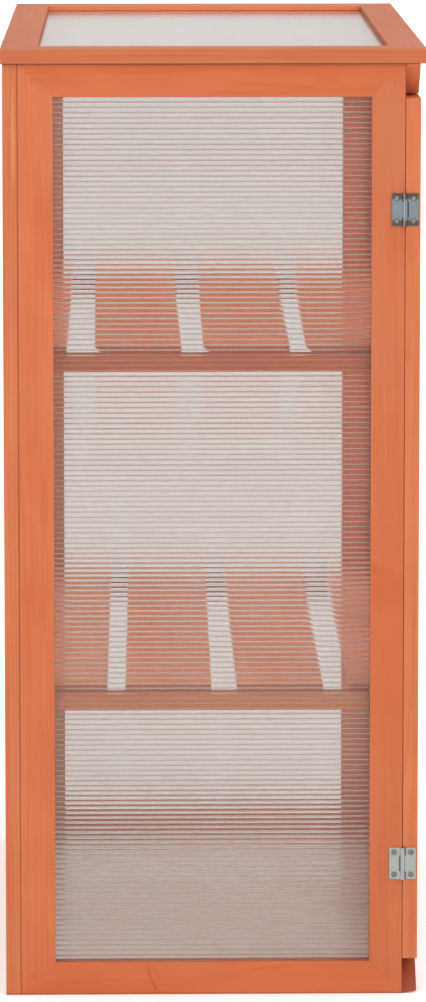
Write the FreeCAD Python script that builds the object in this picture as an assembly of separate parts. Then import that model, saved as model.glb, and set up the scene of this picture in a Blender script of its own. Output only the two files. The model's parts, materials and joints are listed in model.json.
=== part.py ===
import FreeCAD, Part
import os
import math

V = FreeCAD.Vector
os.makedirs("parts", exist_ok=True)

# ------------------------------------------------------------------
# Wooden mini greenhouse: a tall cabinet with framed twin-wall sheets.
# Millimetres. X is the width, -Y the front with the doors, +Z up.
# The floor is z = 0. Y is written from the middle of the side panels
# and the whole model is moved by y_shift at the end, so that the
# origin lies under the middle of the bounding box.
# ------------------------------------------------------------------

# driving dimensions
width = 750.0            # across the outer faces of the side panels
side_depth = 437.0       # side panel, front edge to back edge
panel_height = 1071.0    # side, back and front, floor to top
t = 17.0                 # thickness of every frame member
y_shift = 6.0            # moves the model so that the box is centred

front_stile_w = 37.5     # side panels
back_stile_w = 39.5
side_top_w = 37.0
side_bottom_w = 37.5
back_member_w = 38.0     # back panel, all four members
door_member_w = 38.0     # doors, all four members
lid_member_w = 41.0      # lid, all four members

front_top_rail_h = 36.5
front_bottom_rail_h = 38.5
front_rail_lift = 2.5    # the bottom rail's underside rises this much to its front

door_z0 = 41.0
door_z1 = 1032.0
door_gap = 2.0           # between the two doors
door_back_gap = 0.5      # between a door and the edge of its side panel

lid_x = 380.0            # half width
lid_y0 = -242.0
lid_y1 = 237.5
lid_z0 = 1071.5          # 0.5 above the panels

groove_w = 4.4           # groove for the sheets
groove_d = 8.0
sheet_t = 4.0            # twin-wall sheet
sheet_in = 7.0           # how far a sheet enters the groove
cell_pitch = 6.0
skin_t = 0.4
web_t = 0.4

batten_w = 24.0          # along X
batten_h = 19.0
batten_top = {"upper": 738.5, "lower": 347.3}
batten_inset = 1.5       # from the front and back ends of the side panel

slat_t = 8.0
slat_half = 344.0        # half length
slat_bevel = 8.5         # lower back edge of the upper slats

# slats: name, width, y of the middle at x = -344, at x = +344, bevelled
slats = {
    "upper": [
        ("1", 52.0, 190.5, 192.0, False),
        ("2", 98.5, 83.0, 87.8, True),
        ("3", 98.5, -40.5, -42.0, True),
        ("4", 98.5, -157.2, -164.3, True),
    ],
    "lower": [
        ("1", 98.5, 168.0, 167.7, False),
        ("2", 98.5, 48.9, 46.3, False),
        ("3", 98.5, -79.2, -77.4, False),
        ("4", 55.0, -186.0, -187.0, False),
    ],
}

# butt hinge, the same one in six places
hinge_len = 36.8
hinge_leaf = 15.4        # from the pin's axis to the leaf's free edge
leaf_t = 1.1
knuckle_r = 2.6
pin_r = 1.5
bore_r = 1.56
knuckle_split = 9.2      # half length of the middle knuckle
hinge_hole_u = 9.6
hinge_hole_v = 13.0
hinge_z = [905.9, 152.6]         # doors, upper and lower
lid_hinge_x = [-230.0, 230.0]

# screws: radius, head radius, length
small_screw = (1.5, 2.8, 12.0)
panel_screw = (2.0, 3.6, 40.0)
batten_screw = (1.8, 3.4, 35.0)
slat_screw = (1.6, 3.0, 20.0)

# barrel bolt on the doors
bolt_z = 545.0
bolt_r = 3.0
bolt_bore = 3.08
bolt_travel = 16.0

# lid stay, a flat bar on the right side panel's top rail
stay_y = 120.0
stay_z = 1055.0
stay_len = 193.0         # pivot to the middle of the round tip
stay_hw = 7.0            # half width
stay_t = 2.0

# derived
xo = width / 2
xi = xo - t
yf = -side_depth / 2
yb = side_depth / 2

nodes = {}


def add(name, shape):
    nodes.setdefault(name, []).extend(shape.Solids)


def cut(name, tool):
    out = []
    for s in nodes[name]:
        if s.BoundBox.intersect(tool.BoundBox):
            out.extend(s.cut(tool).Solids)
        else:
            out.append(s)
    nodes[name] = out


def box(x0, x1, y0, y1, z0, z1):
    return Part.makeBox(x1 - x0, y1 - y0, z1 - z0, V(x0, y0, z0))


def prism(points, vec):
    wire = Part.makePolygon([V(*p) for p in points] + [V(*points[0])])
    return Part.Face(wire).extrude(V(*vec))


def place(shape, origin, u, v, w):
    """Carry a shape from local axes u, v, w to the model."""
    m = FreeCAD.Matrix(
        u[0], v[0], w[0], origin[0],
        u[1], v[1], w[1], origin[1],
        u[2], v[2], w[2], origin[2],
        0, 0, 0, 1,
    )
    return shape.transformed(m, True)


def framed_panel(prefix, names, u0, u1, v0, v1, wl, wr, wb, wt, at, flutes):
    """A mitred frame with a grooved-in twin-wall sheet, thickness along local w from 0 to t.

    names are the nodes of the left, right, bottom and top members.
    """
    a, b, c, d = u0 + wl, u1 - wr, v0 + wb, v1 - wt
    shapes = [
        prism([(u0, v0, 0), (a, c, 0), (a, d, 0), (u0, v1, 0)], (0, 0, t)),
        prism([(u1, v0, 0), (u1, v1, 0), (b, d, 0), (b, c, 0)], (0, 0, t)),
        prism([(u0, v0, 0), (u1, v0, 0), (b, c, 0), (a, c, 0)], (0, 0, t)),
        prism([(u0, v1, 0), (a, d, 0), (b, d, 0), (u1, v1, 0)], (0, 0, t)),
    ]
    g = groove_d
    groove = box(a - g, b + g, c - g, d + g, (t - groove_w) / 2, (t + groove_w) / 2)
    for name, s in zip(names, shapes):
        add(prefix + name, place(s.cut(groove), *at))
    e = sheet_in
    sheet = twin_wall(a - e, b + e, c - e, d + e, flutes)
    sheet.translate(V(0, 0, (t - sheet_t) / 2))
    add(prefix + "sheet", place(sheet, *at))


def twin_wall(u0, u1, v0, v1, flutes):
    """A twin-wall sheet with its cells along u or v, thickness 0 to sheet_t."""
    along_u = flutes == "u"
    lo, hi = (v0, v1) if along_u else (u0, u1)
    n = int((hi - lo - 1.0) / cell_pitch)
    start = (lo + hi) / 2 - n * cell_pitch / 2

    def loop(a, b, z0, z1):
        if along_u:
            pts = [(u0, a, z0), (u0, b, z0), (u0, b, z1), (u0, a, z1)]
        else:
            pts = [(a, v0, z0), (b, v0, z0), (b, v0, z1), (a, v0, z1)]
        return Part.makePolygon([V(*p) for p in pts] + [V(*pts[0])])

    wires = [loop(lo, hi, 0, sheet_t)]
    for i in range(n):
        s = start + i * cell_pitch
        wires.append(
            loop(s + web_t / 2, s + cell_pitch - web_t / 2, skin_t, sheet_t - skin_t)
        )
    face = Part.makeFace(wires, "Part::FaceMakerBullseye")
    return face.extrude(V(u1 - u0, 0, 0) if along_u else V(0, v1 - v0, 0))


def drilled_screw(group, point, into, size, through):
    """A countersunk cross-head screw with its head flush at point, and its hole in each node it passes."""
    r, rh, length = size
    p, d = V(*point), V(*into)
    sink = rh - r
    body = Part.makeCone(rh, r, sink, p, d).fuse(
        Part.makeCylinder(r, length - sink - 1.5 * r, p + d * sink, d)
    )
    tip = Part.makeCone(r, 0.25, 1.5 * r, p + d * (length - 1.5 * r), d)
    body = body.fuse(tip).removeSplitter()
    # cross recess
    side = V(0, 0, 1) if abs(d.z) < 0.5 else V(1, 0, 0)
    other = d.cross(side)
    for a, b in ((side, other), (other, side)):
        w, l, h = 0.26 * rh, 1.15 * rh, 0.45 * rh
        q = p - a * (l / 2) - b * (w / 2) - d * 0.5
        pts = [q, q + a * l, q + a * l + b * w, q + b * w]
        slot = Part.Face(Part.makePolygon(pts + [pts[0]])).extrude(d * (h + 0.5))
        body = body.cut(slot)
    add(group, body)
    c = 0.05
    hole = Part.makeCone(rh + c, r + c, sink, p, d).fuse(
        Part.makeCylinder(r + c, length + 0.5 - sink, p + d * sink, d)
    )
    # the mouth is opened a little above the face, so that nothing is left there
    hole = hole.fuse(Part.makeCylinder(rh + c, 0.4, p - d * 0.4, d))
    for name in through:
        cut(name, hole)


# ------------------------------------------------------------------
# side panels: u is Y, v is Z, thickness along X
# ------------------------------------------------------------------
side_names = ["front_stile", "back_stile", "bottom_rail", "top_rail"]
for prefix, x_at in (("left_side_", -xo), ("right_side_", xi)):
    framed_panel(
        prefix, side_names, yf, yb, 0, panel_height,
        front_stile_w, back_stile_w, side_bottom_w, side_top_w,
        ((x_at, 0, 0), (0, 1, 0), (0, 0, 1), (1, 0, 0)), "u",
    )

# back panel: u is X, v is Z, thickness towards -Y
framed_panel(
    "back_", ["left_stile", "right_stile", "bottom_rail", "top_rail"],
    -xo, xo, 0, panel_height,
    back_member_w, back_member_w, back_member_w, back_member_w,
    ((0, yb + t, 0), (1, 0, 0), (0, 0, 1), (0, -1, 0)), "u",
)

# front rails with mitred ends, longest along the top and bottom of the front
h = front_top_rail_h
add("front_top_rail", prism(
    [(-xo, yf, panel_height), (-xo + h, yf, panel_height - h),
     (xo - h, yf, panel_height - h), (xo, yf, panel_height)], (0, -t, 0)))
h = front_bottom_rail_h
rail = prism(
    [(-xo, yf, 0), (xo, yf, 0), (xo - h, yf, h), (-xo + h, yf, h)], (0, -t, 0))
wedge = prism(
    [(-xo - 1, yf - 1.5, 0), (-xo - 1, yf - t - 1, 0),
     (-xo - 1, yf - t - 1, front_rail_lift)], (width + 2, 0, 0))
add("front_bottom_rail", rail.cut(wedge))

# doors: u is X, v is Z, thickness towards -Y
door_at = ((0, yf - door_back_gap, 0), (1, 0, 0), (0, 0, 1), (0, -1, 0))
w = door_member_w
framed_panel(
    "left_door_", ["hinge_stile", "meeting_stile", "bottom_rail", "top_rail"],
    -xo, -door_gap / 2, door_z0, door_z1, w, w, w, w, door_at, "u",
)
framed_panel(
    "right_door_", ["meeting_stile", "hinge_stile", "bottom_rail", "top_rail"],
    door_gap / 2, xo, door_z0, door_z1, w, w, w, w, door_at, "u",
)

# lid: u is X, v is Y, thickness along Z, cells from front to back
w = lid_member_w
framed_panel(
    "lid_", ["left_rail", "right_rail", "front_rail", "back_rail"],
    -lid_x, lid_x, lid_y0, lid_y1, w, w, w, w,
    ((0, 0, lid_z0), (1, 0, 0), (0, 1, 0), (0, 0, 1)), "v",
)

# ------------------------------------------------------------------
# shelves
# ------------------------------------------------------------------
for level in ("upper", "lower"):
    top = batten_top[level]
    for sx in (-1, 1):
        xa, xb = sorted((sx * xi, sx * (xi - batten_w)))
        add(level + "_battens", box(
            xa, xb, yf + batten_inset, yb - batten_inset, top - batten_h, top))
    for name, sw, y_near, y_far, bevel in slats[level]:
        a, b = -sw / 2, sw / 2
        if bevel:
            prof = [(a, 0), (b - slat_bevel, 0), (b, slat_t - 1.0), (b, slat_t), (a, slat_t)]
        else:
            prof = [(a, 0), (b, 0), (b, slat_t), (a, slat_t)]
        s = prism([(-slat_half, p, q) for p, q in prof], (2 * slat_half, 0, 0))
        s.rotate(V(0, 0, 0), V(0, 0, 1), math.degrees(math.atan2(y_far - y_near, 2 * slat_half)))
        s.translate(V(0, (y_near + y_far) / 2, top))
        add(f"{level}_slat_{name}", s)

# batten screws into the stiles
for level in ("upper", "lower"):
    z = batten_top[level] - batten_h / 2
    for sx, side in ((-1, "left_side_"), (1, "right_side_")):
        for y, stile in ((-200.0, "front_stile"), (199.5, "back_stile")):
            drilled_screw(
                "shelf_batten_screws", (sx * (xi - batten_w), y, z), (sx, 0, 0),
                batten_screw, [level + "_battens", side + stile])

# slat screws into the battens
slat_screw_off = {"upper": (-3.0, 18.0, -8.0, 2.0), "lower": (12.0, -16.0, -21.0, 5.0)}
for level in ("upper", "lower"):
    z = batten_top[level] + slat_t
    for off, (name, sw, y_near, y_far, bevel) in zip(slat_screw_off[level], slats[level]):
        for x, y in ((-339.0, y_near + off), (339.0, y_far + off * 0.7)):
            drilled_screw(
                "shelf_slat_screws", (x, y, z), (0, 0, -1),
                slat_screw, [f"{level}_slat_{name}", level + "_battens"])

# ------------------------------------------------------------------
# panel screws: back panel and front rails to the side panels
# ------------------------------------------------------------------
for sx, side in ((-1, "left"), (1, "right")):
    for z in (90.0, 385.0, 690.0, 985.0):
        drilled_screw(
            "panel_screws", (sx * (xo - t / 2), yb + t, z), (0, -1, 0),
            panel_screw, [f"back_{side}_stile", f"{side}_side_back_stile"])
    for z, rail, member in (
        (panel_height - 5.8, "front_top_rail", "top_rail"),
        (6.8, "front_bottom_rail", "bottom_rail"),
    ):
        drilled_screw(
            "panel_screws", (sx * (xo - 11.8), yf - t, z), (0, 1, 0),
            panel_screw, [rail, f"{side}_side_front_stile", f"{side}_side_{member}"])

# ------------------------------------------------------------------
# butt hinges
# Local axes: v along the pin, w out of the mounting face, u across the
# leaves. The pin's axis is at u = 0, w = knuckle_r. Leaf A is at +u.
# step lowers leaf A's plate, where its face lies further back.
# ------------------------------------------------------------------


def leaf(sign, middle, step=0.0):
    half = hinge_len / 2
    e = hinge_leaf
    c = knuckle_r + 0.3
    if step:
        prof = [(e, -step), (c + 3.2, -step), (c + 0.2, 0), (0, 0), (0, leaf_t),
                (c + 0.6, leaf_t), (c + 3.6, leaf_t - step), (e, leaf_t - step)]
    else:
        prof = [(e, 0), (0, 0), (0, leaf_t), (e, leaf_t)]
    plate = prism([(sign * u, -half, w) for u, w in prof], (0, hinge_len, 0))
    # round the leaf's outer corners
    plate = plate.makeFillet(1.6, [
        ed for ed in plate.Edges
        if abs(ed.Vertexes[0].X - sign * e) < 1e-6 and abs(ed.Vertexes[-1].X - sign * e) < 1e-6
        and abs(ed.Vertexes[0].Z - ed.Vertexes[-1].Z) > 0.5
    ])
    m = knuckle_split
    own = [(-m, m)] if middle else [(-half, -m - 0.2), (m + 0.2, half)]
    others = [(-m - 0.2, m + 0.2)] if middle is False else [(-half, -m), (m, half)]
    body = plate
    for a, b in others:
        body = body.cut(box(-c, c, a - (0.2 if a > -half + 1 else 1), b + (0.2 if b < half - 1 else 1), -1, 8))
    for a, b in own:
        body = body.fuse(Part.makeCylinder(knuckle_r, b - a, V(0, a, knuckle_r), V(0, 1, 0)))
    bore = Part.makeCylinder(bore_r, hinge_len + 2, V(0, -half - 1, knuckle_r), V(0, 1, 0))
    return body.cut(bore).removeSplitter()


def hinge(at, frame_group, moving_group, middle_on_frame, frame_nodes, moving_nodes,
          frame_screws, moving_screws, step=0.0):
    """One hinge. at is (origin, u, v, w), with leaf A (+u) on the frame."""
    origin, u, v, w = at
    half = hinge_len / 2
    add(frame_group, place(leaf(1, middle_on_frame, step), *at))
    add(moving_group, place(leaf(-1, not middle_on_frame), *at))
    pin = Part.makeCylinder(pin_r, hinge_len - 0.6, V(0, -half + 0.3, knuckle_r), V(0, 1, 0))
    add("hinge_pins", place(pin, *at))

    def world(a, b, c):
        return tuple(origin[i] + a * u[i] + b * v[i] + c * w[i] for i in range(3))

    into = tuple(-q for q in w)
    for b in (-hinge_hole_v, hinge_hole_v):
        drilled_screw(frame_screws, world(hinge_hole_u, b, leaf_t - step), into,
                      small_screw, [frame_group] + frame_nodes)
        drilled_screw(moving_screws, world(-hinge_hole_u, b, leaf_t), into,
                      small_screw, [moving_group] + moving_nodes)


joint_y = yf - door_back_gap / 2
for sx, side in ((-1, "left"), (1, "right")):
    for i, z in enumerate(hinge_z):
        # u runs towards the back, w out of the side panel, v completes them
        u, w = (0, 1, 0), (sx, 0, 0)
        v = (0, 0, -sx)
        hinge(((sx * xo, joint_y, z), u, v, w),
              "door_hinge_frame_leaves", f"{side}_door_hinge_leaves", i == 0,
              [f"{side}_side_front_stile"], [f"{side}_door_hinge_stile"],
              "frame_hardware_screws", f"{side}_door_screws")

# lid hinges on the back: the lid's edge stands further out than the panel
lid_step = lid_y1 - (yb + t)
lid_axis_z = (panel_height + lid_z0) / 2
for x in lid_hinge_x:
    hinge(((x, lid_y1, lid_axis_z), (0, 0, -1), (1, 0, 0), (0, 1, 0)),
          "lid_hinge_frame_leaves", "lid_hinge_lid_leaves", True,
          ["back_top_rail"], ["lid_back_rail"],
          "frame_hardware_screws", "lid_screws", lid_step)

# ------------------------------------------------------------------
# barrel bolt: plate with two guides on the left door, rod, keeper
# ------------------------------------------------------------------
door_face = yf - door_back_gap - t
plate_t = 1.2
axis_y = door_face - plate_t - 3.9


def guide(x0, x1, r_out):
    ring = Part.makeCylinder(r_out, x1 - x0, V(x0, axis_y, bolt_z), V(1, 0, 0))
    foot = box(x0, x1, axis_y, door_face - plate_t / 2, bolt_z - r_out, bolt_z + r_out)
    return ring.fuse(foot)


plate = box(-38.5, -2.0, door_face - plate_t, door_face, bolt_z - 14, bolt_z + 14)
plate = plate.fuse(guide(-37.0, -32.0, 4.2)).fuse(guide(-9.0, -4.0, 4.2)).removeSplitter()
plate = plate.cut(Part.makeCylinder(bolt_bore, 60, V(-50, axis_y, bolt_z), V(1, 0, 0)))
add("bolt_plate", plate)

knob_x = -32.0 + bolt_r + 0.4
rod = Part.makeCylinder(bolt_r, 37.0 + bolt_travel, V(-40.0 - bolt_travel, axis_y, bolt_z), V(1, 0, 0))
rod = rod.makeChamfer(0.6, [e for e in rod.Edges if e.Curve.TypeId == "Part::GeomCircle"])
stem = Part.makeCylinder(2.4, 9.0, V(knob_x, axis_y, bolt_z), V(0, -1, 0))
head = Part.makeSphere(4.0, V(knob_x, axis_y - 9.6, bolt_z))
add("bolt_rod", rod.fuse(stem).fuse(head).removeSplitter())

# the keeper is a strip bent into a square staple over the rod's path
eye = 3.5
strap = 1.4
staple = box(4.0, 10.0, axis_y - eye - strap, door_face - plate_t / 2,
             bolt_z - eye - strap, bolt_z + eye + strap)
staple = staple.makeFillet(strap, [e for e in staple.Edges
                                   if abs(e.BoundBox.YMax - (axis_y - eye - strap)) < 1e-6
                                   and e.BoundBox.XLength > 1])
keeper = box(2.5, 22.0, door_face - plate_t, door_face, bolt_z - 14, bolt_z + 14)
keeper = keeper.fuse(staple).removeSplitter()
keeper = keeper.cut(box(3.0, 11.0, axis_y - eye, door_face - plate_t, bolt_z - eye, bolt_z + eye))
add("bolt_keeper", keeper)

for x in (-27.5, -13.5):
    for dz in (-9.8, 9.8):
        drilled_screw("left_door_screws", (x, door_face - plate_t, bolt_z + dz), (0, 1, 0),
                      small_screw, ["bolt_plate", "left_door_meeting_stile"])
for dz in (-9.8, 9.8):
    drilled_screw("right_door_screws", (16.5, door_face - plate_t, bolt_z + dz), (0, 1, 0),
                  small_screw, ["bolt_keeper", "right_door_meeting_stile"])

# ------------------------------------------------------------------
# lid stay: a flat bar that turns on a shoulder screw in the right top rail
# ------------------------------------------------------------------
sx0 = xi - 0.5 - stay_t
bar = box(sx0, sx0 + stay_t, stay_y - stay_len, stay_y, stay_z - stay_hw, stay_z + stay_hw)
for y in (stay_y, stay_y - stay_len):
    bar = bar.fuse(Part.makeCylinder(stay_hw, stay_t, V(sx0, y, stay_z), V(1, 0, 0)))
bar = bar.removeSplitter()
bar = bar.cut(Part.makeCylinder(2.56, 10, V(sx0 - 4, stay_y, stay_z), V(1, 0, 0)))
for y in (stay_y - 60, stay_y - 110, stay_y - 160):
    bar = bar.cut(Part.makeCylinder(2.0, 10, V(sx0 - 4, y, stay_z), V(1, 0, 0)))
add("lid_stay", bar)

pivot = Part.makeCylinder(2.5, 3.0, V(sx0 - 0.3, stay_y, stay_z), V(1, 0, 0))
pivot = pivot.fuse(Part.makeCylinder(2.0, 11.0, V(sx0 + 2.7, stay_y, stay_z), V(1, 0, 0)))
cap = Part.makeCylinder(5.0, 2.2, V(sx0 - 2.5, stay_y, stay_z), V(1, 0, 0))
cap = cap.makeFillet(0.9, [e for e in cap.Edges if abs(e.BoundBox.XMax - (sx0 - 2.5)) < 1e-6])
pivot = pivot.fuse(cap).removeSplitter()
for dy, dz in ((3.2, 0.9), (0.9, 3.2)):
    pivot = pivot.cut(box(sx0 - 3, sx0 - 1.2, stay_y - dy, stay_y + dy, stay_z - dz, stay_z + dz))
add("lid_stay_screw", pivot)
cut("right_side_top_rail",
    Part.makeCylinder(2.55, 0.6, V(xi - 0.1, stay_y, stay_z), V(1, 0, 0)).fuse(
        Part.makeCylinder(2.05, 12.5, V(xi - 0.1, stay_y, stay_z), V(1, 0, 0))))

# ------------------------------------------------------------------
# write each node
# ------------------------------------------------------------------
lo, hi = [1e9] * 3, [-1e9] * 3
for name, solids in sorted(nodes.items()):
    shape = solids[0] if len(solids) == 1 else Part.makeCompound(solids)
    shape = shape.copy()
    shape.translate(V(0, y_shift, 0))
    assert shape.isValid(), name
    shape.exportStep(f"parts/{name}.step")
    b = shape.BoundBox
    for i, (p, q) in enumerate(((b.XMin, b.XMax), (b.YMin, b.YMax), (b.ZMin, b.ZMax))):
        lo[i], hi[i] = min(lo[i], p), max(hi[i], q)
    print(f"{name:34s} {len(solids):3d} solids  {shape.Volume / 1000:10.1f} cm3")
print("nodes", len(nodes))
print("box", [round(x, 2) for x in lo], [round(x, 2) for x in hi])
print("middle of the box in Y", round((lo[1] + hi[1]) / 2, 3))
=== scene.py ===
import json
import math
import random

import bpy
from mathutils import Matrix, Vector


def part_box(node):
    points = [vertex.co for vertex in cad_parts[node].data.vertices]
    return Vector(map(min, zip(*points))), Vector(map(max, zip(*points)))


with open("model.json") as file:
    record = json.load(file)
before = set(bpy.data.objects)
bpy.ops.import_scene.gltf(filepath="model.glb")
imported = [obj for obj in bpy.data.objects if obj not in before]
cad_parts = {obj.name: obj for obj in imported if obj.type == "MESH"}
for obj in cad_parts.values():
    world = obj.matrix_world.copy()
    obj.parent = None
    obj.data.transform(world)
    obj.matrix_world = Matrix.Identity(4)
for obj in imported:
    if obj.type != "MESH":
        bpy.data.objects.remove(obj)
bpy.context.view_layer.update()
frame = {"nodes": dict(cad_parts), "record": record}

scene = bpy.context.scene
nodes = frame["nodes"]

# ------------------------------------------------------------------
# camera: the side view of the photograph, a little above the lid
# ------------------------------------------------------------------
camera_data = bpy.data.cameras.new("side_camera")
camera = bpy.data.objects.new("side_camera", camera_data)
scene.collection.objects.link(camera)
camera_data.sensor_width = 36.0
camera_data.lens = 167.62
camera_data.shift_x = 0.0
camera_data.shift_y = -0.29
camera_data.clip_start = 0.1
camera_data.clip_end = 300.0
pitch, yaw = math.radians(6.361), math.radians(-0.931)
forward = Vector((math.cos(yaw) * math.cos(pitch), math.sin(yaw) * math.cos(pitch), -math.sin(pitch)))
right = Vector((math.sin(yaw), -math.cos(yaw), 0.0))
up = right.cross(forward)
turn = Matrix((right, up, -forward)).transposed()
camera.matrix_world = Matrix.Translation((-5.6004, 0.0892, 1.4880)) @ turn.to_4x4()
scene.camera = camera

# ------------------------------------------------------------------
# colours as they leave the render, and how far light goes
# ------------------------------------------------------------------
scene.view_settings.view_transform = "Standard"
scene.view_settings.look = "None"
scene.view_settings.exposure = 0.0
scene.view_settings.gamma = 1.0
scene.cycles.max_bounces = 32
scene.cycles.diffuse_bounces = 4
scene.cycles.glossy_bounces = 12
scene.cycles.transmission_bounces = 32
scene.cycles.transparent_max_bounces = 64


# ------------------------------------------------------------------
# small helpers for node trees
# ------------------------------------------------------------------
class Tree:
    def __init__(self, name):
        self.mat = bpy.data.materials.new(name)
        self.mat.use_nodes = True
        self.nt = self.mat.node_tree
        self.nt.nodes.clear()
        self.out = self.nt.nodes.new("ShaderNodeOutputMaterial")

    def put(self, value, socket):
        if isinstance(value, bpy.types.NodeSocket):
            self.nt.links.new(value, socket)
        elif isinstance(value, (int, float)):
            socket.default_value = value
        else:
            value = tuple(value)
            if len(socket.default_value) == 4 and len(value) == 3:
                value = value + (1.0,)
            socket.default_value = value

    def math(self, op, a, b=0.0, c=0.0, clamp=False):
        n = self.nt.nodes.new("ShaderNodeMath")
        n.operation = op
        n.use_clamp = clamp
        for v, s in zip((a, b, c), n.inputs):
            self.put(v, s)
        return n.outputs[0]

    def vec(self, op, a, b=(0, 0, 0)):
        n = self.nt.nodes.new("ShaderNodeVectorMath")
        n.operation = op
        self.put(a, n.inputs[0])
        if op not in ("LENGTH", "NORMALIZE", "ABSOLUTE"):
            self.put(b, n.inputs[1])
        return n.outputs["Value"] if op in ("LENGTH", "DOT_PRODUCT", "DISTANCE") else n.outputs[0]

    def join(self, x, y, z):
        n = self.nt.nodes.new("ShaderNodeCombineXYZ")
        for v, s in zip((x, y, z), n.inputs):
            self.put(v, s)
        return n.outputs[0]

    def split(self, v):
        n = self.nt.nodes.new("ShaderNodeSeparateXYZ")
        self.put(v, n.inputs[0])
        return n.outputs[0], n.outputs[1], n.outputs[2]

    def coord(self, which="Object"):
        n = self.nt.nodes.new("ShaderNodeTexCoord")
        return n.outputs[which]

    def noise(self, v, scale=1.0, detail=2.0, rough=0.5, distort=0.0):
        n = self.nt.nodes.new("ShaderNodeTexNoise")
        n.noise_dimensions = "3D"
        self.put(v, n.inputs["Vector"])
        n.inputs["Scale"].default_value = scale
        n.inputs["Detail"].default_value = detail
        n.inputs["Roughness"].default_value = rough
        n.inputs["Distortion"].default_value = distort
        return n.outputs["Fac"], n.outputs["Color"]

    def cells(self, v, scale):
        n = self.nt.nodes.new("ShaderNodeTexVoronoi")
        self.put(v, n.inputs["Vector"])
        n.inputs["Scale"].default_value = scale
        return n.outputs["Distance"], n.outputs["Color"]

    def ramp(self, fac, stops):
        n = self.nt.nodes.new("ShaderNodeValToRGB")
        n.color_ramp.interpolation = "LINEAR"
        e = n.color_ramp.elements
        while len(e) < len(stops):
            e.new(0.5)
        for el, (pos, v) in zip(e, stops):
            el.position = pos
            el.color = (v, v, v, 1.0) if isinstance(v, (int, float)) else tuple(v) + (1.0,)
        self.put(fac, n.inputs[0])
        return n.outputs[0]

    def mix(self, fac, a, b, blend="MIX"):
        n = self.nt.nodes.new("ShaderNodeMix")
        n.data_type = "RGBA"
        n.blend_type = blend
        n.clamp_factor = True
        self.put(fac, n.inputs[0])
        self.put(a, n.inputs[6])
        self.put(b, n.inputs[7])
        return n.outputs[2]

    def fade(self, v, lo, hi):
        n = self.nt.nodes.new("ShaderNodeMapRange")
        n.interpolation_type = "SMOOTHSTEP"
        self.put(v, n.inputs["Value"])
        n.inputs["From Min"].default_value = lo
        n.inputs["From Max"].default_value = hi
        n.inputs["To Min"].default_value = 0.0
        n.inputs["To Max"].default_value = 1.0
        return n.outputs[0]

    def bump(self, height, strength, distance):
        n = self.nt.nodes.new("ShaderNodeBump")
        n.inputs["Strength"].default_value = strength
        n.inputs["Distance"].default_value = distance
        self.put(height, n.inputs["Height"])
        return n.outputs[0]


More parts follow.
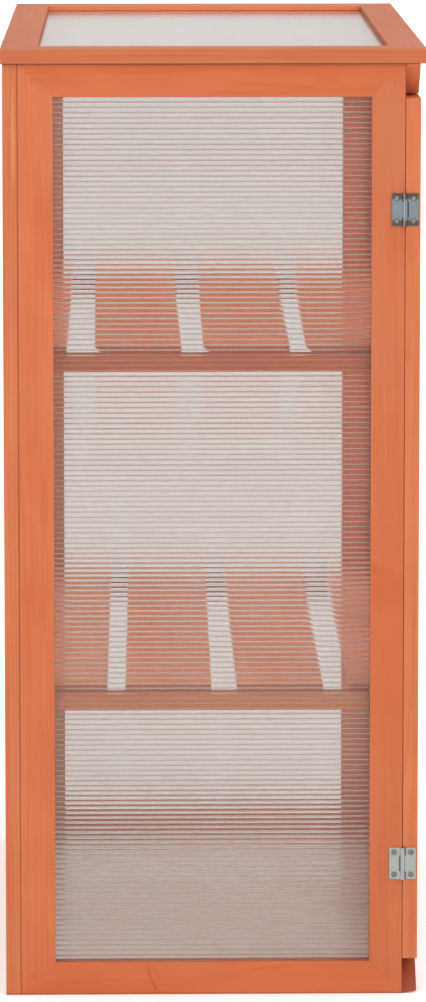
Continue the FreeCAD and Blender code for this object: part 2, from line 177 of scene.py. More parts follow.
# ------------------------------------------------------------------
# stained softwood: rings round a pith outside the board, fine fibres along
# it, cloudy stain, knots that push the grain aside, thirsty end grain
# ------------------------------------------------------------------
def wood(name, node, along, tone, seed, knots=(), marks=(), shade_seams=(), contrast=1.0, cloud=1.0, ring=0.0042, dull=0.56, gloss=0.27, cut=0.80, reach=9.0):
    lo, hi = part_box(node)
    centre, half = (lo + hi) / 2, (hi - lo) / 2
    rnd = random.Random(seed)
    t = Tree(name)
    p = t.vec("SUBTRACT", t.coord(), centre)
    x, y, z = t.split(p)
    order = {"X": (0, 1, 2), "Y": (1, 2, 0), "Z": (2, 0, 1)}[along]
    l, a, b = [(x, y, z)[i] for i in order]
    half_a, half_b = half[order[1]], half[order[2]]

    off = [rnd.uniform(-40, 40) for _ in range(6)]
    angle = rnd.uniform(0, 2 * math.pi)
    far = rnd.uniform(0.030, 0.075)
    a0, b0 = far * math.cos(angle), far * math.sin(angle)

    # slow waviness of the grain
    _, wave = t.noise(t.join(t.math("MULTIPLY_ADD", l, 1.9, off[0]),
                             t.math("MULTIPLY", a, 7.0), t.math("MULTIPLY", b, 7.0)), 1.0, 2.0, 0.45)
    wr, wg, _ = t.split(t.vec("SUBTRACT", wave, (0.5, 0.5, 0.5)))
    a1 = t.math("MULTIPLY_ADD", wr, 0.022, t.math("ADD", a, a0))
    b1 = t.math("MULTIPLY_ADD", wg, 0.022, t.math("ADD", b, b0))

    r = t.vec("LENGTH", t.join(a1, b1, 0.0))
    # long taper of the trunk makes the arcs run out along the board
    r = t.math("MULTIPLY_ADD", l, rnd.choice((-1, 1)) * rnd.uniform(0.004, 0.012), r)

    dark_knot, halo = 0.0, 0.0
    for kl, ka, kb, kr in knots:
        d = t.vec("LENGTH", t.join(
            t.math("MULTIPLY", t.math("SUBTRACT", l, kl), 0.62),
            t.math("SUBTRACT", a1, ka + a0), t.math("MULTIPLY", t.math("SUBTRACT", b1, kb + b0), 0.25)))
        push = t.fade(d, 3.0 * kr, 0.3 * kr)
        r = t.math("MULTIPLY_ADD", push, 2.2 * kr, r)
        core = t.fade(d, 1.05 * kr, 0.55 * kr)
        ringed = t.fade(d, 2.6 * kr, 0.9 * kr)
        dark_knot = core if isinstance(dark_knot, float) else t.math("MAXIMUM", dark_knot, core)
        halo = ringed if isinstance(halo, float) else t.math("MAXIMUM", halo, ringed)

    # rings of uneven width
    uneven, _ = t.noise(t.join(t.math("MULTIPLY_ADD", r, 120.0, off[1]), 0.0, 0.0), 1.0, 1.0, 0.5)
    turns = t.math("ADD", t.math("DIVIDE", r, ring), t.math("MULTIPLY", uneven, 1.6))
    band = t.ramp(t.math("FRACT", turns), [(0.0, 0.05), (0.5, 0.22), (0.80, 0.95), (0.93, 0.30), (1.0, 0.05)])
    strength, _ = t.noise(t.join(t.math("MULTIPLY_ADD", l, 5.0, off[2]),
                                 t.math("MULTIPLY", a, 60.0), t.math("MULTIPLY", b, 60.0)), 1.0, 2.0, 0.6)
    band = t.math("MULTIPLY", band, t.math("MULTIPLY_ADD", strength, 1.3, -0.05))

    # fibres
    fine, _ = t.noise(t.join(t.math("MULTIPLY_ADD", l, 11.0, off[3]),
                             t.math("MULTIPLY", a1, 620.0), t.math("MULTIPLY", b1, 620.0)), 1.0, 3.0, 0.6)
    broad, _ = t.noise(t.join(t.math("MULTIPLY_ADD", l, 4.0, off[4]),
                              t.math("MULTIPLY", a1, 130.0), t.math("MULTIPLY", b1, 130.0)), 1.0, 2.0, 0.5)
    # cloudy stain
    stain, _ = t.noise(t.join(t.math("MULTIPLY_ADD", l, reach, off[5]),
                              t.math("MULTIPLY", a, 22.0), t.math("MULTIPLY", b, 22.0)), 1.0, 3.0, 0.55, 0.4)
    pink, _ = t.noise(t.join(t.math("MULTIPLY_ADD", l, 3.5, off[1]),
                             t.math("MULTIPLY", a, 12.0), t.math("MULTIPLY", b, 12.0)), 1.0, 2.0, 0.5)

    f = t.math("MULTIPLY_ADD", band, 0.36 * contrast, 0.20)
    f = t.math("MULTIPLY_ADD", t.math("SUBTRACT", fine, 0.5), 0.42 * contrast, f)
    f = t.math("MULTIPLY_ADD", t.math("SUBTRACT", broad, 0.5), 0.62 * contrast, f)
    f = t.math("MULTIPLY_ADD", t.math("SUBTRACT", stain, 0.5), 1.05 * cloud, f, clamp=True)

    def tint(m):
        return tuple(min(1.0, c * k) for c, k in zip(tone, m))

    colour = t.mix(f, tint((1.05, 1.16, 1.26)), tint((0.86, 0.72, 0.60)))
    colour = t.mix(t.math("MULTIPLY", t.fade(pink, 0.48, 0.68), 0.60 * cloud), colour, tint((1.03, 1.22, 1.55)))
    if knots:
        colour = t.mix(t.math("MULTIPLY", halo, 0.45), colour, tint((0.93, 0.78, 0.64)))
        colour = t.mix(t.math("MULTIPLY", dark_knot, 0.60), colour, tint((0.78, 0.58, 0.46)))

    # soft marks: knots cut aslant, resin streaks, patches that took more stain, and painted light and shade on a few
    # faces
    for at_l, at_t, side, long, wide, lean, amount, shade in marks:
        u = t.math("SUBTRACT", l, at_l - centre[order[0]])
        v = t.math("SUBTRACT", b if side == "b" else a, at_t - centre[order[2 if side == "b" else 1]])
        cs, sn = math.cos(math.radians(lean)), math.sin(math.radians(lean))
        uu = t.math("ADD", t.math("MULTIPLY", u, cs / long), t.math("MULTIPLY", v, sn / long))
        vv = t.math("ADD", t.math("MULTIPLY", u, -sn / wide), t.math("MULTIPLY", v, cs / wide))
        d = t.math("ADD", t.vec("LENGTH", t.join(uu, vv, 0.0)),
                   t.math("MULTIPLY", t.math("SUBTRACT", broad, 0.5), 0.9))
        colour = t.mix(t.math("MULTIPLY", t.fade(d, 1.15, 0.45), amount), colour, tint(shade))

    # arrises rubbed pale
    edge = t.math("ADD", t.math("SUBTRACT", half_a, t.math("ABSOLUTE", a)),
                  t.math("SUBTRACT", half_b, t.math("ABSOLUTE", b)))
    rubbed = t.fade(t.math("MULTIPLY_ADD", broad, 0.0020, edge), 0.0026, 0.0008)
    colour = t.mix(t.math("MULTIPLY", rubbed, 0.38), colour, tint((1.12, 1.62, 2.10)))

    # painted shade where two boards meet, under the lid and along the floor
    for axis, at, wide, amount in shade_seams:
        i = "XYZ".index(axis)
        d = t.math("ABSOLUTE", t.math("SUBTRACT", (x, y, z)[i], at - centre[i]))
        there = t.math("MULTIPLY", t.fade(d, wide, wide * 0.35),
                       t.math("MULTIPLY_ADD", strength, 0.9 * amount, 0.55 * amount, clamp=True))
        colour = t.mix(there, colour, tint((0.40, 0.18, 0.12)))

    # end grain drinks more stain and shows pores
    n_l, n_a, n_b = t.split(t.coord("Normal"))
    facing = {"X": n_l, "Y": n_a, "Z": n_b}[along]
    end = t.fade(t.math("ABSOLUTE", facing), cut, cut + 0.13)
    pores, _ = t.cells(t.join(t.math("MULTIPLY", l, 0.0), a, b), 900.0)
    end_tone = t.mix(t.math("MULTIPLY_ADD", band, 0.5, t.math("MULTIPLY", pores, 0.5), clamp=True),
                     tint((0.64, 0.56, 0.62)), tint((0.50, 0.38, 0.38)))
    colour = t.mix(end, colour, end_tone)

    shader = t.nt.nodes.new("ShaderNodeBsdfPrincipled")
    t.put(colour, shader.inputs["Base Color"])
    t.put(t.math("MULTIPLY_ADD", fine, 0.16, t.math("MULTIPLY_ADD", band, -0.05, dull)), shader.inputs["Roughness"])
    shader.inputs["Specular IOR Level"].default_value = gloss
    height = t.math("ADD", t.math("MULTIPLY", fine, 0.7), t.math("MULTIPLY", band, -0.6))
    t.put(t.bump(height, 0.35, 0.00022), shader.inputs["Normal"])
    t.nt.links.new(shader.outputs[0], t.out.inputs["Surface"])
    return t.mat


# ------------------------------------------------------------------
# twin-wall sheet: clear plastic whose skins thicken a little from the middle
# of each cell to the webs, so each cell spreads what lies behind it; one side of
# each web runs out in a fillet, the other is cloudy, and fine lines drawn along
# the cells soften the view.
# ------------------------------------------------------------------
def twin_wall(name, node, across, clear, haze, film, index=1.27, soft=0.05, ripple=0.02, webs=0.30):
    lo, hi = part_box(node)
    k = "XYZ".index(across)
    middle, extent = (lo[k] + hi[k]) / 2, hi[k] - lo[k]
    cells = int((extent * 1000 - 1.0) / 6.0)
    first = middle - cells * 0.003
    t = Tree(name)
    xyz = t.split(t.coord())
    c = xyz[k]
    thin = min((hi[i] - lo[i], i) for i in range(3))[1]
    depth = xyz[thin]
    length = [xyz[i] for i in range(3) if i not in (k, thin)][0]
    toward = tuple(1.0 if i == k else 0.0 for i in range(3))

    # signed distance to the nearest web, and 0 in the middle of a cell to 1 at a web
    turn = t.math("FRACT", t.math("DIVIDE", t.math("SUBTRACT", c, first - 0.063), 0.006))
    d = t.math("MULTIPLY", t.math("SUBTRACT", turn, 0.5), 0.006)
    away = t.math("ABSOLUTE", d)
    u = t.math("SUBTRACT", 1.0, t.math("DIVIDE", away, 0.003))
    slope = t.math("MULTIPLY_ADD", t.math("POWER", u, 3.5), 0.135, t.math("MULTIPLY", u, 0.071))
    fillet = t.math("MULTIPLY", t.fade(away, 0.00105, 0.00062), t.math("LESS_THAN", d, 0.0))
    slope = t.math("MULTIPLY_ADD", fillet, 0.36, slope)
    slope = t.math("MULTIPLY", slope, t.math("SIGN", d))
    # the skins' outer faces are flat, only their faces inside the cells are shaped
    inside = t.fade(t.math("ABSOLUTE", t.math("SUBTRACT", depth, (lo[thin] + hi[thin]) / 2)), 0.00190, 0.00170)
    drawn, _ = t.noise(t.join(t.math("MULTIPLY", c, 16000.0), t.math("MULTIPLY", length, 1.0),
                              t.math("MULTIPLY", depth, 2600.0)), 1.0, 0.0, 0.5)
    waver = t.math("MULTIPLY", t.math("SUBTRACT", drawn, 0.5), t.math("MULTIPLY_ADD", inside, soft - ripple, ripple))
    geometry = t.nt.nodes.new("ShaderNodeNewGeometry")
    side = t.math("MULTIPLY_ADD", geometry.outputs["Backfacing"], -2.0, 1.0)
    tilt = t.math("MULTIPLY_ADD", t.math("MULTIPLY", slope, inside), side, waver)
    normal = t.vec("NORMALIZE", t.vec("ADD", geometry.outputs["Normal"], t.vec("MULTIPLY", t.join(tilt, tilt, tilt), toward)))

    glass = t.nt.nodes.new("ShaderNodeBsdfGlass")
    t.put(clear, glass.inputs["Color"])
    glass.inputs["IOR"].default_value = index
    glass.inputs["Roughness"].default_value = 0.0
    t.put(normal, glass.inputs["Normal"])

    front = t.nt.nodes.new("ShaderNodeBsdfDiffuse")
    front.inputs["Color"].default_value = (0.88, 0.87, 0.85, 1.0)
    back = t.nt.nodes.new("ShaderNodeBsdfTranslucent")
    back.inputs["Color"].default_value = (0.88, 0.87, 0.85, 1.0)
    milk = t.nt.nodes.new("ShaderNodeMixShader")
    milk.inputs[0].default_value = 0.5
    t.nt.links.new(front.outputs[0], milk.inputs[1])
    t.nt.links.new(back.outputs[0], milk.inputs[2])

    cloud, _ = t.noise(t.coord(), 7.0, 3.0, 0.55)
    hazy = t.nt.nodes.new("ShaderNodeMixShader")
    t.put(t.math("MULTIPLY_ADD", cloud, haze * 0.6, haze * 0.7, clamp=True), hazy.inputs[0])
    t.nt.links.new(glass.outputs[0], hazy.inputs[1])
    t.nt.links.new(milk.outputs[0], hazy.inputs[2])

    # at the webs light from behind is scattered on its way through
    web = t.nt.nodes.new("ShaderNodeBsdfTranslucent")
    web.inputs["Color"].default_value = (0.92, 0.84, 0.80, 1.0)
    outer = t.math("SUBTRACT", 1.0, inside)
    near_web = t.math("ABSOLUTE", t.math("SUBTRACT", d, 0.00020))
    cloudy = t.math("ADD", t.math("MULTIPLY", t.fade(near_web, 0.00056, 0.00022), inside),
                    t.math("MULTIPLY", t.fade(away, 0.00040, 0.00015), outer))
    body = t.nt.nodes.new("ShaderNodeMixShader")
    t.put(t.math("MULTIPLY", cloudy, webs, clamp=True), body.inputs[0])
    t.nt.links.new(hazy.outputs[0], body.inputs[1])
    t.nt.links.new(web.outputs[0], body.inputs[2])

    # lamps and bounced light pass straight through
    open_way = t.nt.nodes.new("ShaderNodeBsdfTransparent")
    open_way.inputs["Color"].default_value = tuple(film) + (1.0,)
    path = t.nt.nodes.new("ShaderNodeLightPath")
    whole = t.nt.nodes.new("ShaderNodeMixShader")
    t.put(t.math("MAXIMUM", path.outputs["Is Shadow Ray"], path.outputs["Is Diffuse Ray"]), whole.inputs[0])
    t.nt.links.new(body.outputs[0], whole.inputs[1])
    t.nt.links.new(open_way.outputs[0], whole.inputs[2])
    t.nt.links.new(whole.outputs[0], t.out.inputs["Surface"])
    return t.mat


# ------------------------------------------------------------------
# zinc-plated steel
# ------------------------------------------------------------------
def zinc(name, tone, seed, rough=0.34):
    rnd = random.Random(seed)
    t = Tree(name)
    p = t.vec("ADD", t.coord(), [rnd.uniform(-3, 3) for _ in range(3)])
    _, spangle = t.cells(p, 260.0)
    sr, _, _ = t.split(spangle)
    smoky, _ = t.noise(p, 45.0, 3.0, 0.6)
    fine, _ = t.noise(p, 900.0, 2.0, 0.6)
    f = t.math("MULTIPLY_ADD", sr, 0.30, t.math("MULTIPLY", smoky, 0.75), clamp=True)
    colour = t.mix(f, [c * 0.78 for c in tone], [min(1.0, c * 1.22) for c in tone])
    colour = t.mix(t.math("MULTIPLY", t.fade(smoky, 0.55, 0.75), 0.35), colour, (tone[0] * 1.12, tone[1] * 1.05, tone[2] * 0.90))
    s = t.nt.nodes.new("ShaderNodeBsdfPrincipled")
    t.put(colour, s.inputs["Base Color"])
    s.inputs["Metallic"].default_value = 1.0
    t.put(t.math("MULTIPLY_ADD", smoky, 0.22, t.math("MULTIPLY_ADD", fine, 0.08, rough - 0.14)), s.inputs["Roughness"])
    t.put(t.bump(fine, 0.25, 0.00008), s.inputs["Normal"])
    t.nt.links.new(s.outputs[0], t.out.inputs["Surface"])
    return t.mat


# the door hinges: the upper ones darker and the lower ones lighter as painted shade and light, a painted dark
# reflection near the upper ones' ends, painted shade in the slots beside the knuckles and round the countersunk heads,
# heads rubbed bright, a painted highlight along the knuckles
def hinge_zinc(name, seed, part):
    rnd = random.Random(seed)
    t = Tree(name)
    x, y, z = t.split(t.coord())
    p = t.vec("ADD", t.coord(), [rnd.uniform(-3, 3) for _ in range(3)])
    smoky, _ = t.noise(p, 170.0, 3.0, 0.6)
    fine, _ = t.noise(p, 900.0, 2.0, 0.6)
    _, spangle = t.cells(p, 420.0)
    sr, _, _ = t.split(spangle)
    upper = t.math("GREATER_THAN", z, 0.55)
    along = t.math("ABSOLUTE", t.math("SUBTRACT", z, t.math("MULTIPLY_ADD", upper, 0.7533, 0.1526)))
    over = t.math("ADD", y, 0.21275)
    aside = t.math("ABSOLUTE", over)
    hole = t.vec("LENGTH", t.join(t.math("SUBTRACT", along, 0.0130), t.math("SUBTRACT", aside, 0.0096), 0.0))

    # painted shade and light: the upper hinges darker and bluer, the lower ones lighter and warmer
    tone = t.mix(upper, (0.350, 0.372, 0.352), (0.213, 0.256, 0.278))
    f = t.math("MULTIPLY_ADD", sr, 0.25, t.math("MULTIPLY", smoky, 0.80), clamp=True)
    light = t.vec("MULTIPLY", tone, (1.22, 1.20, 1.16))
    shade = t.vec("MULTIPLY", tone, (0.80, 0.80, 0.84))
    colour = t.mix(f, shade, light)
    if part == "screws":
        # the heads' tone, darker on the upper hinges as painted shade
        colour = t.mix(0.75, colour, t.mix(upper, (0.270, 0.270, 0.225), (0.420, 0.395, 0.330)))
        spots, _ = t.noise(p, 620.0, 1.0, 0.5)
        colour = t.mix(t.math("MULTIPLY", t.fade(spots, 0.50, 0.60), 0.70), colour, (0.110, 0.095, 0.080))
        # painted shade in the countersink round each head
        rim = t.math("MULTIPLY", t.fade(hole, 0.0016, 0.0024), t.fade(hole, 0.0036, 0.0032))
        colour = t.mix(t.math("MULTIPLY", rim, 0.75), colour, (0.090, 0.080, 0.066))
    else:
        # painted shade round the countersunk holes
        ring = t.math("MULTIPLY", t.fade(hole, 0.0046, 0.0032), 0.45)
        colour = t.mix(ring, colour, (0.130, 0.125, 0.105))
        # painted dark reflection near the upper hinges' ends
        ends = t.math("MULTIPLY", t.fade(t.math("MULTIPLY_ADD", t.math("SUBTRACT", smoky, 0.5), 0.0040, along), 0.0104, 0.0134), upper)
        colour = t.mix(t.math("MULTIPLY", ends, 0.90), colour, (0.085, 0.066, 0.056))
        free = t.math("MULTIPLY", t.fade(aside, 0.0136, 0.0152), t.math("MULTIPLY_ADD", upper, 0.45, 0.10))
        colour = t.mix(free, colour, (0.200, 0.150, 0.130))
        middle = t.fade(along, 0.0096, 0.0088)
        other = t.math("SUBTRACT", 1.0, middle)
        # the slots lie where the other leaf owns the knuckle
        slots = t.mix(upper, middle, other) if part == "frame" else t.mix(upper, other, middle)
        # painted shade in the slots beside the knuckle
        gap = t.math("MULTIPLY", t.fade(aside, 0.0025, 0.0028), t.fade(aside, 0.0044, 0.0035))
        colour = t.mix(t.math("MULTIPLY", t.math("MULTIPLY", gap, slots), 0.85), colour, (0.045, 0.040, 0.045))
        # painted highlight: a bright line along the knuckle
        glint = t.math("MULTIPLY", t.fade(over, 0.0008, 0.0016), t.fade(over, 0.0032, 0.0025))
        colour = t.mix(t.math("MULTIPLY", glint, 0.65), colour, (0.600, 0.630, 0.660))
    s = t.nt.nodes.new("ShaderNodeBsdfPrincipled")
    t.put(colour, s.inputs["Base Color"])
    s.inputs["Metallic"].default_value = 1.0
    t.put(t.math("MULTIPLY_ADD", smoky, 0.20, t.math("MULTIPLY_ADD", fine, 0.08, 0.24)), s.inputs["Roughness"])
    t.put(t.bump(t.math("MULTIPLY_ADD", smoky, 0.6, fine), 0.30, 0.00010), s.inputs["Normal"])
    t.nt.links.new(s.outputs[0], t.out.inputs["Surface"])
    return t.mat


# ------------------------------------------------------------------
# which way the grain runs, and each board's tone; LID_FAR and FAR_FOOT are lighter copies that paint light
# ------------------------------------------------------------------
ORANGE = (0.560, 0.1370, 0.0482)
RAIL_TOP = (0.538, 0.1220, 0.0395)
RAIL_FOOT = (0.560, 0.1255, 0.0410)
LIGHTER = (0.555, 0.146, 0.0535)
LID = (0.480, 0.1050, 0.0255)
# LID_FAR: the lid's far rail, a lighter copy of LID, partly painted light for its shaded inner face
LID_FAR = (0.455, 0.130, 0.0510)
SHELF = (0.930, 0.220, 0.0650)
SHELF_LOW = (0.895, 0.326, 0.1560)
FAR_SIDE = (0.610, 0.178, 0.0800)
FAR_FRONT = (0.655, 0.160, 0.0640)
FAR_BACK = (0.555, 0.168, 0.0760)
# FAR_FOOT: the far bottom rail, a paler copy painted with light from the floor
FAR_FOOT = (0.660, 0.230, 0.1150)
BATTEN = (0.520, 0.092, 0.0170)
BATTEN_LOW = (0.600, 0.182, 0.0700)
DULL = (0.512, 0.1250, 0.0440)


def grain_of(name):
    if "stile" in name:
        return "Z"
    if "slat" in name or name.startswith(("front_", "back_")) or name in ("lid_front_rail", "lid_back_rail"):
        return "X"
    if "door" in name:
        return "X"
    return "Y"


def tone_of(name):
    if name.startswith("lid_"):
        return LID_FAR if name == "lid_right_rail" else LID
    if name.startswith("back_") and "stile" in name or "door_hinge_stile" in name:
        return LIGHTER
    if "batten" in name:
        return BATTEN_LOW if name.startswith("lower") else BATTEN
    if "slat" in name:
        return SHELF_LOW if name.startswith("lower") else SHELF
    if name == "right_side_bottom_rail":
        return FAR_FOOT
    if name.startswith("right_side"):
        return {"right_side_front_stile": FAR_FRONT, "right_side_back_stile": FAR_BACK}.get(name, FAR_SIDE)
    if name in ("left_side_top_rail", "left_side_bottom_rail"):
        return RAIL_TOP if "top" in name else RAIL_FOOT
    if name.endswith("side_front_stile"):
        return DULL
    return ORANGE


# marks of single boards: place along and across the board, which of its two
# cross axes that is, half length and half width, lean, how strong, shade
DEEP, RED, PALE = (0.84, 0.62, 0.44), (0.97, 0.80, 0.66), (1.08, 1.26, 1.40)
# FOOT_FLOOR_LIGHT is painted light: the far stiles paler and less orange towards the foot, where light comes up from
# the floor
BLEACHED, PINKISH, FOOT_FLOOR_LIGHT = (1.10, 1.55, 1.75), (0.96, 1.15, 1.60), (1.04, 1.65, 2.20)
WARM, COOL = (1.05, 0.80, 0.68), (0.95, 1.14, 1.28)
MARKS = {
    "left_side_front_stile": [
        (0.470, -0.194, "b", 0.027, 0.026, 0, 0.62, DEEP),
        (0.477, -0.203, "b", 0.010, 0.010, 0, 0.45, DEEP),
        (0.494, -0.182, "b", 0.008, 0.010, 0, 0.55, DEEP),
        (0.500, -0.192, "b", 0.006, 0.010, 0, 0.40, PALE),
        (0.493, -0.205, "b", 0.005, 0.007, 0, 0.45, PALE),
        (0.510, -0.186, "b", 0.010, 0.005, 0, 0.30, PALE),
        (1.049, -0.200, "b", 0.011, 0.0022, 0, 0.45, DEEP),
        (0.985, -0.205, "b", 0.060, 0.010, 0, 0.35, PALE),
        (0.860, -0.186, "b", 0.090, 0.008, 0, 0.30, PALE),
        (0.990, -0.197, "b", 0.090, 0.030, 0, 0.80, (1.00, 1.17, 1.42)),
        (0.420, -0.197, "b", 0.160, 0.030, 0, 0.70, (1.03, 0.94, 0.82)),
    ],
    "left_side_back_stile": [
        (1.0525, 0.2080, "b", 0.0055, 0.0016, 8, 0.45, DEEP),
        (1.044, 0.200, "b", 0.014, 0.0012, 45, 0.34, DEEP),
        (0.0195, 0.2085, "b", 0.0085, 0.0050, 30, 0.30, DEEP),
        (0.560, 0.196, "b", 0.050, 0.005, 0, 0.28, DEEP),
    ],
    "left_side_top_rail": [
        (-0.1246, 1.0557, "a", 0.016, 0.012, 0, 0.42, RED),
        (0.200, 1.044, "a", 0.014, 0.0012, 45, 0.30, DEEP),
        (-0.050, 1.038, "a", 0.070, 0.004, 0, 0.25, DEEP),
    ],
    "left_side_bottom_rail": [
        (0.0777, 0.0255, "a", 0.0095, 0.0019, 76, 0.60, DEEP),
        (0.0728, 0.0115, "a", 0.0105, 0.0021, 64, 0.66, DEEP),
        (0.0700, 0.0230, "a", 0.0100, 0.0060, 70, 0.30, RED),
        (0.0745, 0.0075, "a", 0.0050, 0.0014, 64, 0.45, PALE),
        (-0.0614, 0.0300, "a", 0.034, 0.0040, -6, 0.45, RED),
        (-0.160, 0.0200, "a", 0.050, 0.0050, 0, 0.30, RED),
    ],
    "lid_left_rail": [
        (0.070, 1.0810, "a", 0.090, 0.0011, 0, 0.50, DEEP),
        (-0.070, 1.0785, "a", 0.100, 0.0010, 0, 0.50, DEEP),
        (-0.120, 1.0835, "a", 0.110, 0.0009, 0, 0.40, DEEP),
        (0.000, 1.0740, "a", 0.150, 0.0014, 0, 0.45, PALE),
    ],
    "left_door_hinge_stile": [
        (0.700, -0.221, "b", 0.110, 0.0018, 0, 0.45, PALE),
        (0.350, -0.225, "b", 0.140, 0.0016, 0, 0.35, DEEP),
    ],
    "back_left_stile": [
        (0.985, 0.2295, "b", 0.070, 0.0020, 0, 0.75, BLEACHED),
        (0.970, 0.2385, "b", 0.090, 0.0022, 0, 0.60, PINKISH),
        (0.700, 0.232, "b", 0.120, 0.0016, 0, 0.50, PALE),
        (0.330, 0.238, "b", 0.120, 0.0018, 0, 0.35, DEEP),
    ],
    "right_side_front_stile": [
        (0.640, -0.190, "b", 0.022, 0.016, 0, 0.50, DEEP),
        (0.000, -0.190, "b", 0.300, 0.900, 0, 0.85, FOOT_FLOOR_LIGHT),
    ],
    "right_side_back_stile": [
        (0.300, 0.206, "b", 0.020, 0.012, 0, 0.45, DEEP),
        (0.000, 0.206, "b", 0.300, 0.900, 0, 1.00, FOOT_FLOOR_LIGHT),
    ],
    "right_door_meeting_stile": [(0.790, 0.020, "a", 0.018, 0.011, 0, 0.50, DEEP)],
    "left_door_meeting_stile": [(0.260, -0.018, "a", 0.022, 0.012, 0, 0.50, DEEP)],
    "right_door_hinge_stile": [(0.420, 0.352, "a", 0.018, 0.010, 0, 0.45, DEEP)],
    "front_bottom_rail": [(0.160, 0.020, "b", 0.020, 0.009, 0, 0.45, DEEP)],
    "back_right_stile": [(0.520, 0.352, "a", 0.020, 0.010, 0, 0.50, DEEP)],
    "back_top_rail": [(-0.150, 1.052, "b", 0.020, 0.010, 0, 0.45, DEEP)],
    "lid_front_rail": [(0.210, -0.216, "a", 0.018, 0.009, 0, 0.45, DEEP)],
    "lid_right_rail": [
        (0.060, 0.356, "b", 0.016, 0.009, 0, 0.45, DEEP),
        # painted light: the rail's inner face above the lid's sheet, where shade falls, is painted paler
        (-0.002, 0.3390, "b", 0.900, 0.0030, 0, 0.95, (1.98, 1.80, 1.66)),
    ],
    "upper_slat_2": [
        (-0.120, 0.095, "a", 0.018, 0.010, 0, 0.50, DEEP),
        (-0.050, 0.076, "a", 0.420, 0.018, 0, 0.75, WARM),
        (-0.050, 0.122, "a", 0.400, 0.014, 0, 0.55, COOL),
    ],
    "upper_slat_3": [
        (0.180, -0.060, "a", 0.020, 0.012, 0, 0.50, DEEP),
        (-0.020, -0.036, "a", 0.360, 0.016, 0, 0.55, WARM),
        (-0.020, -0.088, "a", 0.420, 0.014, 0, 0.55, COOL),
    ],
    "lower_slat_2": [
        (0.060, 0.060, "a", 0.018, 0.012, 0, 0.50, DEEP),
        (-0.040, 0.080, "a", 0.360, 0.016, 0, 0.70, WARM),
        (0.000, 0.034, "a", 0.420, 0.014, 0, 0.50, COOL),
    ],
    "lower_slat_3": [
        (-0.200, -0.065, "a", 0.020, 0.010, 0, 0.45, DEEP),
        (-0.250, -0.060, "a", 0.130, 0.024, 0, 0.60, WARM),
    ],
}

# painted shade: the battens' inner faces, shadowed under the slats, are painted dark
for level in ("upper", "lower"):
    MARKS[level + "_battens"] = [(0.006, side * 0.334, "b", 0.900, 0.0040, 0, 0.85, (0.50, 0.38, 0.36)) for side in (-1, 1)]

# planes of painted shade, where boards meet, under the lid and along the floor: axis, place, half width, how strong
BACK, FRONT, TOP, GROUND = ("Y", 0.2245, 0.0011, 0.75), ("Y", -0.2127, 0.0011, 0.50), ("Z", 1.0712, 0.0013, 0.80), ("Z", 0.0, 0.0022, 0.55)


def shade_seams_of(name):
    out = []
    if name.startswith("back_") or name.endswith("side_back_stile"):
        out.append(BACK)
    if name.startswith("front_") or name.endswith("side_front_stile") or "door_hinge_stile" in name:
        out.append(FRONT)
    if name.endswith("top_rail") and "door" not in name or "stile" in name and "door" not in name or name.startswith("lid_"):
        out.append(TOP)
    if "bottom_rail" in name and "door" not in name or "stile" in name and "door" not in name:
        out.append(GROUND)
    return out


def smooth_edges(obj, width, segments=2, angle=40.0):
    weld = obj.modifiers.new("weld", "WELD")
    weld.merge_threshold = 0.000005
    flat = obj.modifiers.new("flat", "DECIMATE")
    flat.decimate_type = "DISSOLVE"
    flat.angle_limit = math.radians(0.4)
    bevel = obj.modifiers.new("eased", "BEVEL")
    bevel.width = width
    bevel.segments = segments
    bevel.limit_method = "ANGLE"
    bevel.angle_limit = math.radians(angle)
    bevel.harden_normals = False
    bevel.use_clamp_overlap = True
    normal = obj.modifiers.new("normal", "WEIGHTED_NORMAL")
    normal.keep_sharp = False
    normal.weight = 50


def wear(obj, mat):
    obj.data.materials.clear()
    obj.data.materials.append(mat)
    for poly in obj.data.polygons:
        poly.material_index = 0


slots = {s["node"]: s["material_slot"] for s in frame["record"]["subparts"]}
CLEAR, FILM = (0.928, 0.920, 0.915), (0.943, 0.950, 0.946)
for i, (name, obj) in enumerate(sorted(nodes.items())):
    slot = slots[name]
    if slot in ("frame_wood", "shelf_wood"):
        streaky = name.startswith("back_") or "door" in name or name.startswith("lid_")
        mat = wood("wood_" + name, name, grain_of(name), tone_of(name), 100 + 7 * i,
                   marks=MARKS.get(name, ()), shade_seams=shade_seams_of(name), contrast=1.45 if streaky else 1.10,
                   dull=0.60 if name.startswith("lid_") else 0.56, gloss=0.66 if name.startswith("lid_") else 0.27,
                   cut=0.55 if name == "front_bottom_rail" else 0.80,
                   cloud=1.35 if "slat" in name else 1.0, reach=2.2 if "slat" in name else 9.0)
        wear(obj, mat)
        smooth_edges(obj, 0.0005)
    elif slot == "twin_wall_sheet":
        if name.startswith("lid"):
            wear(obj, twin_wall("twin_wall_" + name, name, "X", (0.967, 0.965, 0.963), 0.040, FILM, ripple=0.10, webs=0.30))
        else:
            wear(obj, twin_wall("twin_wall_" + name, name, "Z", CLEAR, 0.012, FILM))
    elif "door_hinge" in name:
        wear(obj, hinge_zinc("zinc_" + name, 900 + i, "frame" if "frame" in name else "door"))
    elif name in ("left_door_screws", "right_door_screws", "frame_hardware_screws"):
        wear(obj, hinge_zinc("zinc_" + name, 900 + i, "screws"))
    else:
        wear(obj, zinc("zinc_" + name, (0.335, 0.385, 0.405), 900 + i))

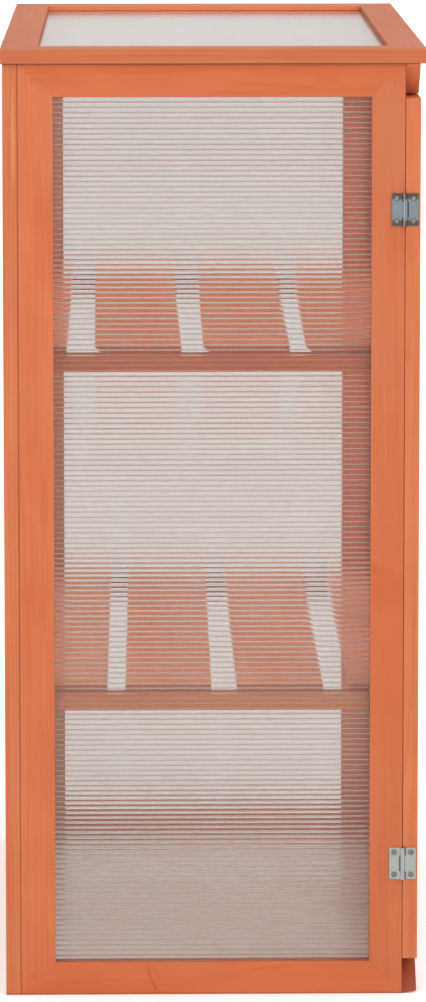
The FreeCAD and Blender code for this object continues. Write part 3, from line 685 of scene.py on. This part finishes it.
# ------------------------------------------------------------------
# floor and light
# ------------------------------------------------------------------
t = Tree("floor_paper")
grain, _ = t.noise(t.coord(), 3.0, 2.0, 0.5)
paper = t.nt.nodes.new("ShaderNodeBsdfDiffuse")
glow = t.nt.nodes.new("ShaderNodeEmission")
glow.inputs["Color"].default_value = (1.0, 1.0, 1.0, 1.0)
fx, fy, _ = t.split(t.coord())
out_x, out_y = t.math("SUBTRACT", t.math("ABSOLUTE", fx), 0.376), t.math("SUBTRACT", t.math("ABSOLUTE", fy), 0.245)
beyond = t.math("MAXIMUM", out_x, out_y)
outside = t.fade(beyond, -0.030, 0.004)
# painted light: the paper glows, not under the object, 0.20 just beyond it and a little more farther out
t.put(t.math("MULTIPLY_ADD", t.fade(beyond, 0.40, 1.80), 0.04, t.math("MULTIPLY", outside, 0.20)), glow.inputs["Strength"])
# less light reaches the ground under the object
sheet = t.mix(grain, (0.93, 0.93, 0.925), (0.95, 0.95, 0.945))
t.put(t.mix(outside, t.vec("MULTIPLY", sheet, (0.92, 0.92, 0.92)), sheet), paper.inputs["Color"])
lit = t.nt.nodes.new("ShaderNodeAddShader")
t.nt.links.new(paper.outputs[0], lit.inputs[0])
t.nt.links.new(glow.outputs[0], lit.inputs[1])
t.nt.links.new(lit.outputs[0], t.out.inputs["Surface"])
mesh = bpy.data.meshes.new("floor")
side = 120.0
mesh.from_pydata([(-side, -side, 0), (side, -side, 0), (side, side, 0), (-side, side, 0)], [], [(0, 1, 2, 3)])
floor = bpy.data.objects.new("floor", mesh)
floor.location.z = -0.0004
mesh.materials.append(t.mat)
scene.collection.objects.link(floor)

world = bpy.data.worlds.new("studio")
scene.world = world
world.use_nodes = True
sky = world.node_tree
background = sky.nodes["Background"]
background.inputs["Strength"].default_value = 1.0
# brighter overhead than at the horizon, as under a large ceiling of light
where = sky.nodes.new("ShaderNodeTexCoord")
parts = sky.nodes.new("ShaderNodeSeparateXYZ")
rise = sky.nodes.new("ShaderNodeValToRGB")
rise.color_ramp.elements[0].position = 0.0
rise.color_ramp.elements[0].color = (0.66, 0.66, 0.66, 1.0)
rise.color_ramp.elements[1].position = 1.0
rise.color_ramp.elements[1].color = (1.0, 1.0, 1.0, 1.0)
gain = sky.nodes.new("ShaderNodeVectorMath")
gain.operation = "MULTIPLY"
gain.inputs[1].default_value = (1.20, 1.20, 1.20)
sky.links.new(where.outputs["Generated"], parts.inputs[0])
sky.links.new(parts.outputs[2], rise.inputs[0])
sky.links.new(rise.outputs[0], gain.inputs[0])
sky.links.new(gain.outputs[0], background.inputs["Color"])


def softbox(name, place, aim, size, power):
    data = bpy.data.lights.new(name, "AREA")
    data.shape = "RECTANGLE"
    data.size, data.size_y = size
    data.energy = power
    lamp = bpy.data.objects.new(name, data)
    lamp.location = place
    lamp.rotation_mode = "QUATERNION"
    lamp.rotation_quaternion = (Vector(aim) - Vector(place)).to_track_quat("-Z", "Y")
    lamp.visible_camera = False
    scene.collection.objects.link(lamp)


softbox("key", (-3.2, -2.6, 3.6), (0, 0, 0.5), (2.4, 2.4), 60)
